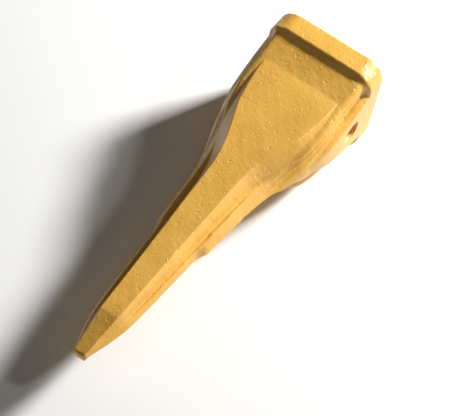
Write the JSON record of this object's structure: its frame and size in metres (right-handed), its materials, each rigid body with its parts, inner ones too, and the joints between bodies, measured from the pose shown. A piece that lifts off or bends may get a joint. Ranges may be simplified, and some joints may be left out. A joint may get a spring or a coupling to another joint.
{
  "type": "excavator bucket tooth",
  "caption": "Long single-point excavator bucket tooth: a hollow cast tip with a collar, side bands and a tapering ribbed blade, held on its adapter by a turn-to-lock cross pin.",
  "frame": {"origin": "centre of the socket's mouth, in the plane of the rear rim", "axes": "+X runs forward along the tooth to its digging tip, +Z is square to the parting line and points out of the wide top face, +Y points out of the side that the pin is put in from"},
  "size_m": [0.42, 0.123, 0.119],
  "materials": {
    "painted_casting": "yellow paint over as-cast low-alloy steel",
    "pin_steel": "turned, hardened and blackened",
    "drive_steel": "turned and oiled",
    "cam_steel": "forged, with worn flanks",
    "spring_steel": "stamped and phosphated",
    "seal_rubber": "moulded nitrile",
    "detent_rubber": "moulded, bonded in its hole"
  },
  "bodies": {
    "tooth": {"tooth_casting": "painted_casting"},
    "pin": {"lock_pin": "pin_steel", "retaining_ring": "spring_steel", "rubber_detent": "detent_rubber"},
    "lock": {"drive_shaft": "drive_steel", "lock_cam": "cam_steel", "seal_ring": "seal_rubber"}
  },
  "joints": [
    {"name": "pin_slide", "type": "slide", "parent": "tooth", "child": "pin", "axis": [0, 1, 0], "range_m": [0, 0.115]},
    {"name": "cam_turn", "type": "hinge", "parent": "pin", "child": "lock", "pos_m": [0.0498, 0.045, 0], "axis": [0, 1, 0], "range_deg": [0, 90], "deforming": ["rubber_detent"]}
  ]
}
